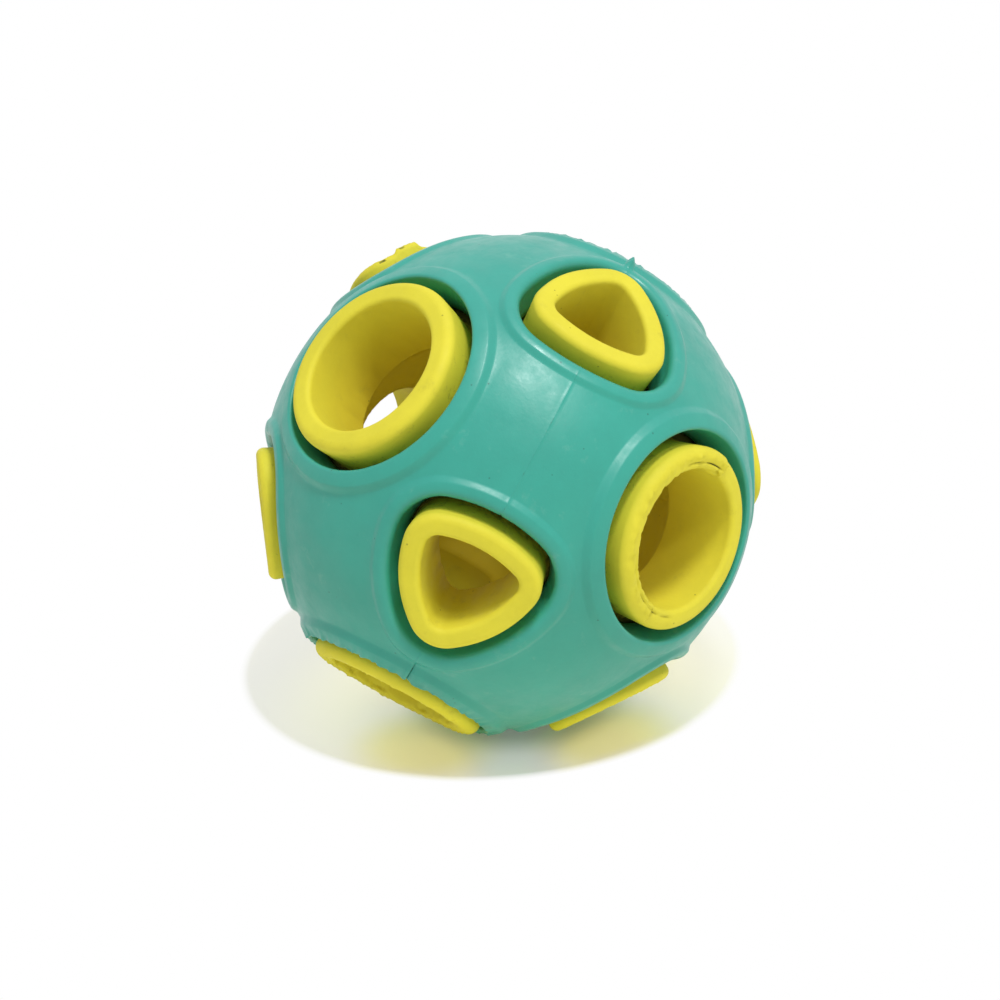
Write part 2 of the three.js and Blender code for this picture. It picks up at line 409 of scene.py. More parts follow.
def collar_profile(sizes, opening):
    """Rings of a collar: root fillet, waisted wall, rim, flat end, mouth, bore and the ragged inner edge."""
    end = sizes.shell_radius - opening.setback - opening.wear.trim * MM
    ragged = opening.wear.mouth * MM
    outside = ball_radius(sizes)
    cavity = outside - sizes.ball_wall
    root = opening.wall - sizes.collar_waist
    rings = []
    for share in shares(ROOT_STEPS):
        turn = share * math.pi / 2
        across = sizes.root_fillet * (1 - math.sin(turn))
        rise = sizes.root_fillet * (1 - math.cos(turn))
        # Painted shade from the gap runs up the root's fillet and thins out.
        rings.append(Ring(root + across, outside + rise, grime=GAP_PAINTED_SHADE - ROOT_SHADE_LOST * share))
    for share in shares(RIM_STEPS):
        turn = share * math.pi / 2
        across = opening.rim * (1 - math.cos(turn))
        rise = opening.rim * math.sin(turn)
        grime = max(0.0, RIM_GRIME - share)
        torn = RIM_TEAR * ragged * share * share
        rings.append(Ring(opening.wall - across, None, end - opening.rim + rise, torn=torn, grime=grime))
    tear_middle = sizes.collar_mouth_round + sizes.mouth_tear_width
    rings.append(Ring(tear_middle + sizes.mouth_tear_width, None, end))
    rings.append(Ring(tear_middle, None, end, sunk=sizes.mouth_tear, grime=TEAR_GRIME))
    for share in shares(MOUTH_STEPS):
        turn = share * math.pi / 2
        across = sizes.collar_mouth_round * (1 - math.sin(turn))
        drop = sizes.collar_mouth_round * (1 - math.cos(turn))
        rings.append(Ring(across, None, end - drop, ragged * share))
    bore_end = end - sizes.collar_mouth_round
    rings.append(Ring(0, None, bore_end - sizes.mouth_tear_width))
    for share in shares(BORE_STEPS)[1:]:
        halfway = share / 2
        rings.append(Ring(-sizes.bore_draft * halfway, None, bore_end - (bore_end - cavity) * halfway))
    rings.append(Ring(-sizes.bore_draft, cavity + sizes.inner_edge_round))
    torn = opening.wear.inner * MM
    grime = INNER_EDGE_GRIME * opening.wear.inner
    rings.append(Ring(-sizes.bore_draft, cavity + sizes.inner_edge_round / 2, ragged=torn, grime=grime))
    rings.append(Ring(sizes.inner_edge_round, cavity))
    return rings


# The openwork ball that both mouldings start from


def openings(sizes):
    """The six round openings on the cube's faces and the eight cornered ones at its corners."""
    places = []
    for index, sign in itertools.product(range(3), (1, -1)):
        axis = Vector((0, 0, 0))
        axis[index] = sign
        towards = Vector((0, 0, 0))
        towards[(index + 1) % 3] = 1
        wear = WEAR.get(tuple(int(part) for part in axis), Wear())
        places.append(
            Opening(
                axis=axis,
                towards=towards,
                outline=round_outline,
                wall=sizes.round_collar_wall - wear.thin * MM,
                setback=sizes.round_collar_setback,
                rim=sizes.collar_rim_round,
                lip=sizes.lip_height,
                edge=sizes.window_edge_round,
                draft=sizes.round_window_draft if axis.dot(SHELL_SEAM) else sizes.crossed_window_draft,
                wear=wear,
            )
        )
    for signs in itertools.product((1, -1), repeat=3):
        places.append(
            Opening(
                axis=Vector(signs).normalized(),
                towards=Vector((signs[0], 0, 0)),
                outline=cornered_outline,
                wall=sizes.cornered_collar_wall,
                setback=sizes.cornered_collar_setback,
                rim=sizes.cornered_rim_round,
                lip=sizes.cornered_lip_height,
                edge=sizes.cornered_edge_round,
                draft=sizes.cornered_window_draft,
                wear=WEAR.get(signs, Wear()),
            )
        )
    return places


def cage_corner(sizes):
    """One corner of the cage: a regular octagon lies round each round lip, midway to the cornered lips."""
    foot = sizes.window_offset + sizes.lip_width
    cornered_reach = sizes.cornered_bore_spread + sizes.cornered_corner_radius + foot
    round_angle = math.asin((sizes.round_bore_radius + foot) / sizes.shell_radius)
    cornered_angle = math.asin(cornered_reach / sizes.shell_radius)
    reach = math.tan((round_angle + CORNER_ANGLE - cornered_angle) / 2)
    return reach * (math.sqrt(2) - 1), reach, 1.0


def extrude_ring(mesh, ring):
    """Extrudes a closed ring of vertices and gives the new ring in the same order."""
    edges = [mesh.edges.get((ring[index - 1], ring[index])) for index in range(len(ring))]
    made = bmesh.ops.extrude_edge_only(mesh, edges=edges)["geom"]
    fresh = {item for item in made if isinstance(item, bmesh.types.BMVert)}
    new_ring = []
    for vertex in ring:
        partners = [edge.other_vert(vertex) for edge in vertex.link_edges]
        new_ring.append(next(partner for partner in partners if partner in fresh))
    return new_ring


def place_ring(sizes, ring, shape, opening, axes, grime):
    """Moves a ring of vertices onto an outline, on a sphere or on a plane across the opening's axis."""
    side, across, axis = axes
    for vertex, point in zip(ring, opening.outline(sizes, shape.offset, len(ring))):
        spot = side * point.x + across * point.y + axis * sizes.shell_radius
        cut_clean = opening.wear.step and spot.dot(BALL_SEAM) < 0
        if shape.ragged and not cut_clean:
            bite = max(0.0, tear_height(sizes, spot)) * shape.ragged
            point = point * (1 + bite / point.length)
        vertex[grime] = shape.grime
        if shape.height is None:
            height = math.sqrt(shape.radius**2 - point.length_squared)
        else:
            height = shape.height
            if cut_clean:
                height -= opening.wear.step * MM
            inside = opening.wall - shape.offset
            for chip, share in chips_at(opening, point):
                height += chip.rise * MM * share
                if CHIP_DIRT_START * opening.rim < inside < CHIP_DIRT_END * opening.rim:
                    vertex[grime] = max(vertex[grime], chip.dirt * share)
        if shape.torn and not cut_clean:
            height += shape.torn * max(0.0, TORN_LEVEL + tear_height(sizes, spot))
        if shape.sunk:
            share = tear_share(spot)
            height -= shape.sunk * share
            vertex[grime] = shape.grime * share
        vertex.co = side * point.x + across * point.y + axis * height


def tear_height(sizes, spot):
    """How far a torn edge stands in or out at a spot, about -1 to 1: broad bites with small jags in them."""
    jags = noise.noise(spot / sizes.tear_spacing)
    bites = noise.noise(spot / (BITE_SPREAD * sizes.tear_spacing))
    return JAG_WEIGHT * jags + BITE_WEIGHT * bites


def degrees_apart(first, second):
    """The angle between two turns, in degrees, the short way round."""
    return abs((first - second + 180) % 360 - 180)


def chips_at(opening, point):
    """The chips of a collar's end at a point, each with its share there."""
    turn = math.degrees(math.atan2(point.y, point.x))
    found = []
    for chip in opening.wear.chips:
        share = 1 - degrees_apart(turn, chip.turn) / chip.reach
        if share > 0:
            found.append((chip, min(1.0, CHIP_STEEPNESS * share)))
    return found


def tear_share(spot):
    """How deep a mouth is torn at a spot: broken tears that fade away from the inner ball's seam."""
    ahead = spot.dot(BALL_SEAM)
    if ahead < 0 < spot.y:
        return 0.0
    reach = TEAR_REACH_FRONT if ahead > 0 else TEAR_REACH_BACK
    fade = max(0.0, 1 - abs(ahead) / reach)
    broken = TEAR_LEVEL + noise.noise(spot / TEAR_BREAK_SPACING) * TEAR_SWING
    return min(1.0, max(0.0, broken)) * math.sqrt(fade)


def openwork_ball(sizes, outer_radius, inner_radius, profile, outer_painted_shade):
    """A closed hollow ball with fourteen openings that follow a profile, in the cube's own axes."""
    mesh = bmesh.new()
    grime = mesh.verts.layers.float.new(DIRT_AND_SHADE_LAYER)
    corner = cage_corner(sizes)
    for order in itertools.permutations(corner):
        for signs in itertools.product((1, -1), repeat=3):
            mesh.verts.new(Vector(order) * Vector(signs))
    bmesh.ops.convex_hull(mesh, input=mesh.verts[:])
    bmesh.ops.dissolve_limit(mesh, angle_limit=FLAT_ANGLE, verts=mesh.verts[:], edges=mesh.edges[:])
    windows = [face for face in mesh.faces if len(face.verts) > 4]
    bmesh.ops.delete(mesh, geom=windows, context="FACES_ONLY")
    bmesh.ops.subdivide_edges(mesh, edges=mesh.edges[:], cuts=sizes.cage_cuts, use_grid_fill=True)

    borders = []
    for opening in openings(sizes):
        axis = opening.axis
        side = (opening.towards - axis * opening.towards.dot(axis)).normalized()
        axes = (side, axis.cross(side), axis)
        plane = max(vertex.co.dot(axis) for vertex in mesh.verts)
        border = [vertex for vertex in mesh.verts if plane - vertex.co.dot(axis) < CAGE_TOLERANCE]
        border.sort(key=lambda vertex: turn_of(vertex.co, axes))
        borders.append((border, axes, opening))

    for vertex in mesh.verts:
        vertex.co = vertex.co.normalized() * outer_radius
        # The inner ball's outside, seen only in the gaps round the collars, is painted with shade; the
        # shell's is not.
        vertex[grime] = outer_painted_shade
    lining = bmesh.ops.duplicate(mesh, geom=mesh.faces[:])["geom"]
    for item in lining:
        if isinstance(item, bmesh.types.BMVert):
            item.co = item.co.normalized() * inner_radius
            item[grime] = 0.0

    for border, axes, opening in borders:
        ring = border
        for shape in profile(sizes, opening):
            ring = extrude_ring(mesh, ring)
            place_ring(sizes, ring, shape, opening, axes, grime)
        ring = extrude_ring(mesh, ring)
        for vertex, start in zip(ring, border):
            vertex.co = start.co.normalized() * inner_radius
            vertex[grime] = 0.0
    bmesh.ops.remove_doubles(mesh, verts=mesh.verts[:], dist=MERGE_DISTANCE)
    bmesh.ops.recalc_face_normals(mesh, faces=mesh.faces[:])
    return mesh


def turn_of(point, axes):
    """Turn of a point round an opening's axis, from the side it starts at, in 0 to a full turn."""
    side, across, _ = axes
    turn = math.atan2(point.dot(across), point.dot(side))
    return turn % (2 * math.pi) if turn < -TURN_TOLERANCE else max(turn, 0.0)


# Marks of moulding


def make_uneven(mesh, depth):
    """Gives a moulded surface its gentle waves."""
    mesh.normal_update()
    moves = [(vertex, vertex.normal * noise.noise(vertex.co / WAVE_SPACING) * depth) for vertex in mesh.verts]
    for vertex, move in moves:
        vertex.co += move


def flash_rise(sizes, spot, seam, side):
    """Rise of the trimmed flash near a seam: a low ridge, torn stretches and the larger marks."""
    away = abs(spot.dot(seam.normal))
    ridge = RIDGE_LEVEL + RIDGE_SWING * noise.noise(spot / RIDGE_SPACING)
    torn = max(0.0, noise.noise(spot / FLASH_TEAR_SPACING) - FLASH_TEAR_LEVEL)
    patches = max(0.0, noise.noise(spot / FLASH_PATCH_SPACING + FLASH_PATCH_SHIFT))
    fade = max(0.0, 1 - away / sizes.flash_width)
    rise = sizes.flash_height * (ridge + FLASH_TEAR_HEIGHT * torn * patches) * fade
    across = seam.normal.cross(seam.start)
    turn = math.degrees(math.atan2(spot.dot(across), spot.dot(seam.start)))
    for mark in seam.marks:
        if mark.side == -side:
            continue
        along_share = 1 - degrees_apart(turn, mark.turn) / mark.reach
        across_share = 1 - away / (mark.width * MM)
        if along_share > 0 and across_share > 0:
            uneven = 1 + MARK_SWING * noise.noise(spot / MARK_SPACING)
            bulk = along_share * across_share
            rise += mark.rise * MM * bulk * (2 - bulk) * uneven
    return rise


def half_of(whole, seam, side, trim, sizes, skin_radius):
    """The part of a moulding on one side of its seam: closed, drawn in at the seam, with the seam's flash."""
    half = whole.copy()
    grime = half.verts.layers.float[DIRT_AND_SHADE_LAYER]
    inward = seam.normal * side
    wide = max(mark.width for mark in seam.marks) * MM
    for distance in (wide, (wide + sizes.flash_width) / 2, sizes.flash_width, 0.0):
        bmesh.ops.bisect_plane(
            half,
            geom=half.verts[:] + half.edges[:] + half.faces[:],
            dist=CUT_TOLERANCE,
            plane_co=inward * distance,
            plane_no=inward,
            clear_inner=distance == 0.0,
        )
    skin = [edge for edge in half.edges if edge.is_boundary and on_skin(edge, skin_radius)]
    bmesh.ops.subdivide_edges(half, edges=skin, cuts=SEAM_CUTS)

    moves = []
    for vertex in half.verts:
        if vertex.co.dot(inward) < wide and vertex.co.length > skin_radius:
            moves.append((vertex, flash_rise(sizes, vertex.co, seam, side)))
    for vertex, rise in moves:
        dirt = min(1.0, -rise / sizes.grime_depth)
        if vertex.co.dot(inward) < sizes.flash_width / 2:
            dirt = max(dirt, SEAM_GRIME)
        vertex[grime] = max(vertex[grime], dirt)
        vertex.co += vertex.co.normalized() * rise
    for vertex in half.verts:
        share = min(1.0, vertex.co.dot(inward) / sizes.seam_pinch)
        vertex.co -= inward * trim * share * share * (3 - 2 * share)
    for face in half.faces:
        face.smooth = True

    # The faces beside the cut become triangles first, so that no triangle of the cap repeats one of theirs.
    border = [edge for edge in half.edges if edge.is_boundary]
    beside = [face for face in half.faces if any(edge.is_boundary for edge in face.edges)]
    bmesh.ops.triangulate(half, faces=beside, quad_method="BEAUTY", ngon_method="BEAUTY")
    caps = bmesh.ops.holes_fill(half, edges=border, sides=0)["faces"]
    for edge in border:
        edge.smooth = False
    bmesh.ops.triangulate(half, faces=caps, quad_method="BEAUTY", ngon_method="BEAUTY")
    bmesh.ops.recalc_face_normals(half, faces=half.faces[:])
    return half


def on_skin(edge, radius):
    """Whether an edge lies on the outside of a moulding."""
    return all(vertex.co.length > radius for vertex in edge.verts)


def add_piece(name, mesh, material, body):
    """Stands a finished mesh in place as the piece that shows a node, riding on its body."""
    mesh.transform(STAND)
    # Nothing stands proud of the resting flat, which lies on the floor.
    for vertex in mesh.verts:
        vertex.co.z = max(vertex.co.z, 0.0)
    data = bpy.data.meshes.new(name)
    mesh.to_mesh(data)
    mesh.free()
    data.materials.append(material)
    piece = bpy.data.objects.new(name + "_moulding", data)
    bpy.context.scene.collection.objects.link(piece)
    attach(piece, body)
    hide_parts(name)


# Materials

# How a level follows a value: the values where it starts and ends to change, the levels there, and whether
# it changes evenly or gently.
Ramp = collections.namedtuple("Ramp", "start end low high kind", defaults=(0.0, 1.0, "LINEAR"))
GENTLE = "SMOOTHSTEP"

# Cloudy bloom on the rubber: the spacing of its patches, in millimetres, the levels that it lies between,
# and how dark and how light it makes the colour.
BLOOM_SPACING = 14
CLOUDS = Ramp(0.3, 0.7)
BLOOM_DARK = 0.91
BLOOM_LIGHT = 1.06

# Painted shade deep inside the ball: the colour darkens and warms by distance from the ball's centre.
DEEP_SHADE = Ramp(25 * MM, 34.5 * MM, 0.42, 0.0)

# Scuffs: their spacing, in millimetres, and how they cover the rubber where their pattern is high.
SCUFF_SPACING = 4
SCUFFS = Ramp(0.6, 0.75, 0.0, 0.3)

# Dark specks: how far apart they lie and their radius, in millimetres, how soft they are, how they cover the
# rubber, and how dark they are.
SPECK_SPACING = 3.2
SPECK_RADIUS = 0.11
SPECK_SIZE = SPECK_RADIUS / SPECK_SPACING
SPECK_SOFTNESS = 1.5
SPECKS = Ramp(SPECK_SIZE, SPECK_SIZE * SPECK_SOFTNESS, 0.6, 0.0)
SPECK_DARK = 0.3

# Dirt in tears and seams, and painted shade in the gaps round the collars: the spacing of the speckle, in
# millimetres, the speckle's weight beside the layer of dirt and painted shade, how both cover the rubber, and
# the colour.
SPECKLE_SPACING = 2
SPECKLE_WEIGHT = 1.3
DIRT_AND_SHADE = Ramp(1.05, 1.5, 0.0, 0.9)
DIRT_AND_SHADE_COLOUR = "26371F"

# Sheen: the spacing of its patches, in millimetres, and how far it moves the roughness.
SHEEN_SPACING = 3
SHEEN_SWING = 0.1

# The mould's grain: its spacing, in millimetres, its strength and its depth. Then the rubber's refraction.
GRAIN_SPACING = 0.6
GRAIN_STRENGTH = 0.3
GRAIN_DEPTH = 0.05 * MM
RUBBER_IOR = 1.52

# Roughness and gloss of the two rubbers, the colours of the scuffs on them and of the painted shade deep
# inside the inner one.
SHELL_ROUGHNESS = 0.38
SHELL_GLOSS = 0.5
SHELL_SCUFF = "7DB8AA"
BALL_ROUGHNESS = 0.66
BALL_GLOSS = 0.25
BALL_SCUFF = "A39A3C"
BALL_DEEP_SHADE = "D2AE1C"

# The floor by distance from the contact: the painted light that lightens its shadow, how much less of it lies
# close by, and its gloss.
CONTACT = Vector((0, 0, 0))
PAINTED_FLOOR_LIGHT = Ramp(20 * MM, 46 * MM, 0.42, 0.6)
PAINTED_LIGHT_NEAR_CONTACT = Ramp(12 * MM, 20 * MM, 0.35, 1.0, GENTLE)
FLOOR_SHINE = Ramp(25 * MM, 45 * MM, 0.95, 0.35, GENTLE)
FLOOR_GLOSS_COLOUR = "FFFCC4"
FLOOR_ROUGHNESS = 0.55

# The middle of the patch of floor that keeps the shadow, and how the floor clears to white away from it.
SHADOW_MIDDLE = Vector((-14.4, 8.3, 0)) * MM
CLEARED = Ramp(38 * MM, 42 * MM, kind=GENTLE)

# Painted yellow light on the floor under the collars that face it: where it is strongest under the round and
# the cornered collars, how it fades, and its colour. The collars on the far side of the contact mirror these.
ROUND_GLOW = Vector((0, 20, 0)) * MM
CORNERED_GLOW = Vector((19, 0, 0)) * MM
GLOW_FADE = Ramp(5 * MM, 14 * MM, kind=GENTLE)
GLOW_COLOUR = "FFFBBF"
WHITE = (1, 1, 1, 1)


def add_node(tree, kind, settings=None, links=None):
    """Adds one node with its settings, by attribute or by socket, and its incoming links."""
    node = tree.nodes.new(kind)
    for key, value in (settings or {}).items():
        if isinstance(key, str) and hasattr(node, key):
            setattr(node, key, value)
        else:
            node.inputs[key].default_value = value
    for key, source in (links or {}).items():
        tree.links.new(source, node.inputs[key])
    return node


def empty_tree(owner):
    """The node tree of a material or a world, with no nodes in it."""
    owner.use_nodes = True
    owner.node_tree.nodes.clear()
    return owner.node_tree


def per_metre(size_mm):
    """Texture scale whose pattern repeats about every so many millimetres."""
    return 1 / (size_mm * MM)


def opaque(code):
    """Linear colour of an sRGB hex colour, with full alpha."""
    return linear_colour(code) + [1.0]


def shaded(colour, factor):
    """A linear colour made lighter or darker, with full alpha."""
    return [min(1.0, channel * factor) for channel in colour] + [1.0]


def cloudy(tree, place, spacing_mm, detail, roughness):
    """Levels of a cloudy pattern."""
    settings = {"Scale": per_metre(spacing_mm), "Detail": detail, "Roughness": roughness}
    return add_node(tree, "ShaderNodeTexNoise", settings, {"Vector": place}).outputs["Fac"]


def ramped(tree, value, ramp):
    """A level that follows a value along a ramp."""
    settings = {
        "interpolation_type": ramp.kind,
        "From Min": ramp.start,
        "From Max": ramp.end,
        "To Min": ramp.low,
        "To Max": ramp.high,
    }
    return add_node(tree, "ShaderNodeMapRange", settings, {"Value": value}).outputs["Result"]


def covered(tree, base, share, colour):
    """A base colour with a share of another colour over it."""
    settings = {"data_type": "RGBA", 7: colour}
    return add_node(tree, "ShaderNodeMix", settings, {"Factor": share, 6: base}).outputs[2]


def worked_out(tree, operation, first, second):
    """A level worked out from two others."""
    return add_node(tree, "ShaderNodeMath", {"operation": operation}, {0: first, 1: second}).outputs["Value"]


def distance_from(tree, place, spot):
    """How far a place lies from a spot."""
    settings = {"operation": "DISTANCE", 1: spot}
    return add_node(tree, "ShaderNodeVectorMath", settings, {0: place}).outputs["Value"]


def rubber_material(name, colour, roughness, gloss, dust, deep_shade):
    """Moulded rubber: cloudy bloom, uneven sheen, fine matt grain, faint scuffs and a few dark specks.

    The rubber is pressed hot against a bead-blasted mould, so its skin is even and satin, and the
    sheen comes and goes where the mould's release agent lay thicker. Handling leaves scuffs on it,
    and dirt stays in its tears and seams. Painted shade darkens and warms it deep inside and darkens
    the gaps round the collars and, partly, the feet of the lips.
    """
    material = bpy.data.materials.new(name)
    tree = empty_tree(material)
    place = add_node(tree, "ShaderNodeTexCoord").outputs["Object"]

    bloom = cloudy(tree, place, BLOOM_SPACING, detail=7, roughness=0.72)
    shades = {"data_type": "RGBA", 6: shaded(colour, BLOOM_DARK), 7: shaded(colour, BLOOM_LIGHT)}
    body = add_node(tree, "ShaderNodeMix", shades, {"Factor": ramped(tree, bloom, CLOUDS)}).outputs[2]

    # Painted shade: deep inside, the colour turns darker and warmer.
    depth = distance_from(tree, place, CENTRE)
    deep_shaded = covered(tree, body, ramped(tree, depth, DEEP_SHADE), deep_shade + [1.0])

    scuff = cloudy(tree, place, SCUFF_SPACING, detail=6, roughness=0.7)
    scuffed = covered(tree, deep_shaded, ramped(tree, scuff, SCUFFS), dust + [1.0])

    cells = add_node(tree, "ShaderNodeTexVoronoi", {"Scale": per_metre(SPECK_SPACING)}, {"Vector": place})
    speck = ramped(tree, cells.outputs["Distance"], SPECKS)
    specked = covered(tree, scuffed, speck, shaded(colour, SPECK_DARK))

    # Dirt and painted shade from the vertex layer, with a speckle, cover the rubber in a dark colour.
    grime = add_node(tree, "ShaderNodeAttribute", {"attribute_name": DIRT_AND_SHADE_LAYER}).outputs["Fac"]
    speckle = cloudy(tree, place, SPECKLE_SPACING, detail=6, roughness=0.75)
    dirt = add_node(
        tree, "ShaderNodeMath", {"operation": "MULTIPLY_ADD", 1: SPECKLE_WEIGHT}, {0: speckle, 2: grime}
    )
    dirty_and_shaded = covered(tree, specked, ramped(tree, dirt.outputs["Value"], DIRT_AND_SHADE), opaque(DIRT_AND_SHADE_COLOUR))

    sheen = cloudy(tree, place, SHEEN_SPACING, detail=5, roughness=0.65)
    shine = ramped(tree, sheen, CLOUDS._replace(low=roughness - SHEEN_SWING, high=roughness + SHEEN_SWING))
    grain = cloudy(tree, place, GRAIN_SPACING, detail=2, roughness=0.5)
    bump = add_node(
        tree, "ShaderNodeBump", {"Strength": GRAIN_STRENGTH, "Distance": GRAIN_DEPTH}, {"Height": grain}
    )
    surface = add_node(
        tree,
        "ShaderNodeBsdfPrincipled",
        {"IOR": RUBBER_IOR, "Specular IOR Level": gloss},
        {"Base Color": dirty_and_shaded, "Roughness": shine, "Normal": bump.outputs["Normal"]},
    )
    add_node(tree, "ShaderNodeOutputMaterial", None, {"Surface": surface.outputs["BSDF"]})
    return material


def seen_directly(tree):
    """A socket that is 1 for rays from the camera, from gloss and through glass."""
    path = add_node(tree, "ShaderNodeLightPath")
    either = worked_out(tree, "MAXIMUM", path.outputs["Is Camera Ray"], path.outputs["Is Glossy Ray"])
    return worked_out(tree, "MAXIMUM", either, path.outputs["Is Transmission Ray"])


def floor_material(colour):
    """Pale laminate floor, plain white away from the ball.

    Laminate is pressed under a smooth, hard skin, so it keeps the ball's shadow and shows a blurred
    reflection. A painted white glow lightens that shadow, less near the contact, and a painted yellow
    glow lies under the collars that face it.
    """
    material = bpy.data.materials.new("pale_laminate_floor")
    tree = empty_tree(material)
    place = add_node(tree, "ShaderNodeTexCoord").outputs["Object"]
    from_contact = distance_from(tree, place, CONTACT)

    # Painted light: a white glow, seen only by the camera and in reflections, lightens the floor's shadow,
    # less near the contact.
    painted_floor_light = ramped(tree, from_contact, PAINTED_FLOOR_LIGHT)
    shadow = worked_out(tree, "MULTIPLY", painted_floor_light, ramped(tree, from_contact, PAINTED_LIGHT_NEAR_CONTACT))
    cleared = ramped(tree, distance_from(tree, place, SHADOW_MIDDLE), CLEARED)
    white_share = worked_out(tree, "MAXIMUM", shadow, cleared)
    share = worked_out(tree, "MULTIPLY", white_share, seen_directly(tree))

    matt = add_node(tree, "ShaderNodeBsdfDiffuse", {"Color": shaded(colour, 1.0)})
    shine = {"Color": opaque(FLOOR_GLOSS_COLOUR), "Roughness": FLOOR_ROUGHNESS}
    gloss = add_node(tree, "ShaderNodeBsdfGlossy", shine)
    laminate = add_node(
        tree,
        "ShaderNodeMixShader",
        None,
        {0: ramped(tree, from_contact, FLOOR_SHINE), 1: matt.outputs["BSDF"], 2: gloss.outputs["BSDF"]},
    )

    # Painted yellow light under the four lower collars tints the white glow.
    mirrored = add_node(tree, "ShaderNodeVectorMath", {"operation": "ABSOLUTE"}, {0: place}).outputs["Vector"]
    from_round = distance_from(tree, mirrored, ROUND_GLOW)
    from_cornered = distance_from(tree, mirrored, CORNERED_GLOW)
    faded = ramped(tree, worked_out(tree, "MINIMUM", from_round, from_cornered), GLOW_FADE)
    glow = add_node(
        tree,
        "ShaderNodeMix",
        {"data_type": "RGBA", 6: opaque(GLOW_COLOUR), 7: WHITE},
        {"Factor": worked_out(tree, "MAXIMUM", faded, cleared)},
    )
    white = add_node(tree, "ShaderNodeEmission", {"Strength": 1.0}, {"Color": glow.outputs[2]})
    mixed = add_node(
        tree,
        "ShaderNodeMixShader",
        None,
        {0: share, 1: laminate.outputs["Shader"], 2: white.outputs["Emission"]},
    )
    add_node(tree, "ShaderNodeOutputMaterial", None, {"Surface": mixed.outputs["Shader"]})
    return material


# Stage

# A round lamp: its name, its place from the ball's centre and its size, in metres, and its power, in watts.
Lamp = collections.namedtuple("Lamp", "name place size energy")
LAMPS = (
    Lamp("overhead_panel", Vector((0.24, -0.05, 0.7)), 0.14, 2.6),
    Lamp("side_panel", Vector((0.44, -0.075, 0.61)), 0.06, 0.7),
)

# The white room lights the ball less than it shows itself, so that the ball's shaded sides stay deep.
ROOM = Ramp(0, 1, 0.53, 1.0)

# Half the floor's width, in metres, and the nearest that the camera sees.
FLOOR_HALF = 3
NEAREST_SEEN = 10 * MM


def lay_floor(scene):
    """Lays a wide pale floor under the ball."""
    mesh = bmesh.new()
    bmesh.ops.create_grid(mesh, x_segments=1, y_segments=1, size=FLOOR_HALF)
    data = bpy.data.meshes.new("floor")
    mesh.to_mesh(data)
    mesh.free()
    data.materials.append(floor_material(scene.chew_ball_finish.floor_colour))
    floor = bpy.data.objects.new("floor", data)
    scene.collection.objects.link(floor)


def light_stage(scene):
    """Lights the stage with a white room and two soft panels."""
    scene.world = bpy.data.worlds.new("white_room")
    tree = empty_tree(scene.world)
    strength = ramped(tree, seen_directly(tree), ROOM)
    room = add_node(tree, "ShaderNodeBackground", {"Color": WHITE}, {"Strength": strength})
    add_node(tree, "ShaderNodeOutputWorld", None, {"Surface": room.outputs["Background"]})
    for lamp in LAMPS:
        hang_lamp(scene, lamp)


def hang_lamp(scene, lamp):
    """Hangs a round lamp at its place, facing the ball."""
    light = bpy.data.lights.new(lamp.name, "AREA")
    light.shape = "DISK"
    light.size = lamp.size
    light.energy = lamp.energy
    holder = bpy.data.objects.new(lamp.name, light)
    scene.collection.objects.link(holder)
    holder.location = CENTRE + lamp.place
    holder.rotation_mode = "QUATERNION"
    holder.rotation_quaternion = (-lamp.place).to_track_quat("-Z", "Y")


def stand_camera(scene):
    """Stands the camera at the picture's viewing angle."""
    view = scene.chew_ball_view
    camera = bpy.data.cameras.new("camera")
    camera.lens = view.lens
    camera.shift_x = view.shift_x
    camera.shift_y = view.shift_y
    camera.clip_start = NEAREST_SEEN
    holder = bpy.data.objects.new("camera", camera)
    scene.collection.objects.link(holder)
    level = math.cos(view.elevation)
    back = Vector((math.sin(view.azimuth) * level, -math.cos(view.azimuth) * level, math.sin(view.elevation)))
    holder.location = CENTRE + back * view.distance
    holder.rotation_mode = "QUATERNION"
    holder.rotation_quaternion = back.to_track_quat("Z", "Y") @ Quaternion((0, 0, 1), view.roll)
    scene.camera = holder


# Operators


class CHEWBALL_OT_shell(bpy.types.Operator):
    """Model the two bonded halves of the windowed shell"""

    bl_idname = "chewball.shell"
    bl_label = "Shell Halves"

    def execute(self, context):
        sizes = context.scene.chew_ball_sizes
        colour = list(context.scene.chew_ball_finish.shell_colour)
        inner = sizes.shell_radius - sizes.shell_wall
        whole = openwork_ball(sizes, sizes.shell_radius, inner, window_profile, 0.0)
        make_uneven(whole, sizes.unevenness)
        skin = sizes.shell_radius - 2 * sizes.window_edge_round
        dust = linear_colour(SHELL_SCUFF)
        # The shell's painted shade deep inside is its own colour, so it darkens nothing and only evens the
        # bloom inside.
        material = rubber_material("moulded_shell_rubber", colour, SHELL_ROUGHNESS, SHELL_GLOSS, dust, colour)
        seam = Seam(SHELL_SEAM, SHELL_SEAM_START, SHELL_MARKS)
        for name, side in (("shell_half_right", 1), ("shell_half_left", -1)):
            half = half_of(whole, seam, side, sizes.seam_trim, sizes, skin)
            add_piece(name, half, material, "shell")
        whole.free()
        return {"FINISHED"}


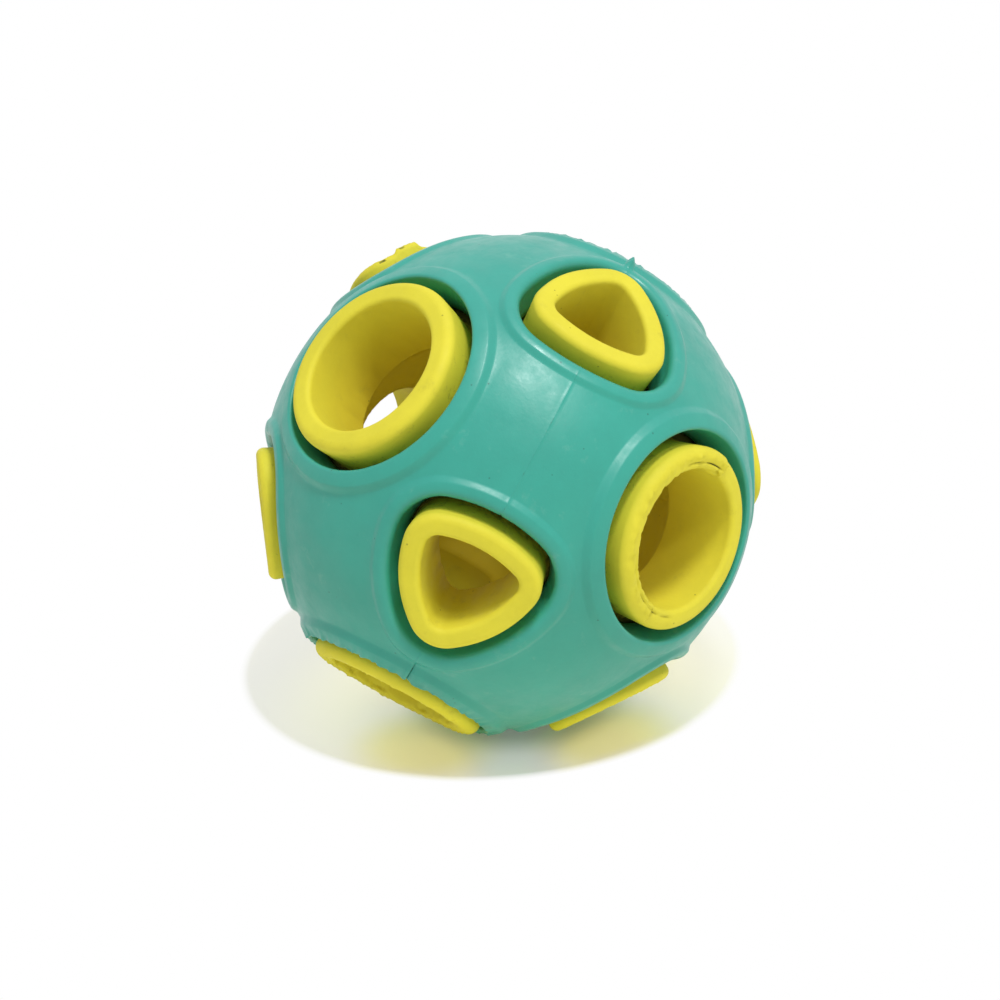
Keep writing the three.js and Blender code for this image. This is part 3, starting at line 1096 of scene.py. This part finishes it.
class CHEWBALL_OT_inner_ball(bpy.types.Operator):
    """Model the two bonded halves of the inner ball with its collars"""

    bl_idname = "chewball.inner_ball"
    bl_label = "Inner Ball Halves"

    def execute(self, context):
        sizes = context.scene.chew_ball_sizes
        colour = context.scene.chew_ball_finish.ball_colour
        outside = ball_radius(sizes)
        # The inner ball's outside is painted with the gaps' shade.
        whole = openwork_ball(sizes, outside, outside - sizes.ball_wall, collar_profile, GAP_PAINTED_SHADE)
        make_uneven(whole, sizes.unevenness)
        skin = outside + sizes.root_fillet
        dust = linear_colour(BALL_SCUFF)
        deep_shade = linear_colour(BALL_DEEP_SHADE)
        material = rubber_material("moulded_inner_rubber", colour, BALL_ROUGHNESS, BALL_GLOSS, dust, deep_shade)
        seam = Seam(BALL_SEAM, BALL_SEAM_START, BALL_MARKS)
        for name, side in (("inner_ball_half_front", 1), ("inner_ball_half_back", -1)):
            half = half_of(whole, seam, side, 0.0, sizes, skin)
            add_piece(name, half, material, "inner_ball")
        whole.free()
        return {"FINISHED"}


class CHEWBALL_OT_stage(bpy.types.Operator):
    """Set out the floor, the light and the camera"""

    bl_idname = "chewball.stage"
    bl_label = "Stage"

    def execute(self, context):
        scene = context.scene
        scene.view_settings.view_transform = "Standard"
        lay_floor(scene)
        light_stage(scene)
        stand_camera(scene)
        return {"FINISHED"}


# Sidebar


class CHEWBALL_PT_sidebar(bpy.types.Panel):
    """Sizes, finishes and steps of the chew ball"""

    bl_idname = "CHEWBALL_PT_sidebar"
    bl_label = "Chew Ball"
    bl_space_type = "VIEW_3D"
    bl_region_type = "UI"
    bl_category = "Chew Ball"

    def draw(self, context):
        scene = context.scene
        for group in (scene.chew_ball_sizes, scene.chew_ball_finish, scene.chew_ball_view):
            box = self.layout.box()
            for name in group.__annotations__:
                box.prop(group, name)
        for operator in OPERATORS:
            self.layout.operator(operator.bl_idname)


OPERATORS = (CHEWBALL_OT_shell, CHEWBALL_OT_inner_ball, CHEWBALL_OT_stage)
GROUPS = {
    "chew_ball_sizes": ChewBallSizes,
    "chew_ball_finish": ChewBallFinish,
    "chew_ball_view": ChewBallView,
}


def register():
    """Registers the properties, the operators and the panel."""
    for group in GROUPS.values():
        bpy.utils.register_class(group)
    for name, group in GROUPS.items():
        setattr(bpy.types.Scene, name, PointerProperty(type=group))
    for operator in OPERATORS:
        bpy.utils.register_class(operator)
    bpy.utils.register_class(CHEWBALL_PT_sidebar)


def unregister():
    """Takes back what was registered."""
    bpy.utils.unregister_class(CHEWBALL_PT_sidebar)
    for operator in reversed(OPERATORS):
        bpy.utils.unregister_class(operator)
    for name, group in GROUPS.items():
        delattr(bpy.types.Scene, name)
        bpy.utils.unregister_class(group)


def main():
    """Models the ball on its stage."""
    register()
    bpy.ops.chewball.stage()
    bpy.ops.chewball.shell()
    bpy.ops.chewball.inner_ball()


if __name__ == "__main__":
    main()
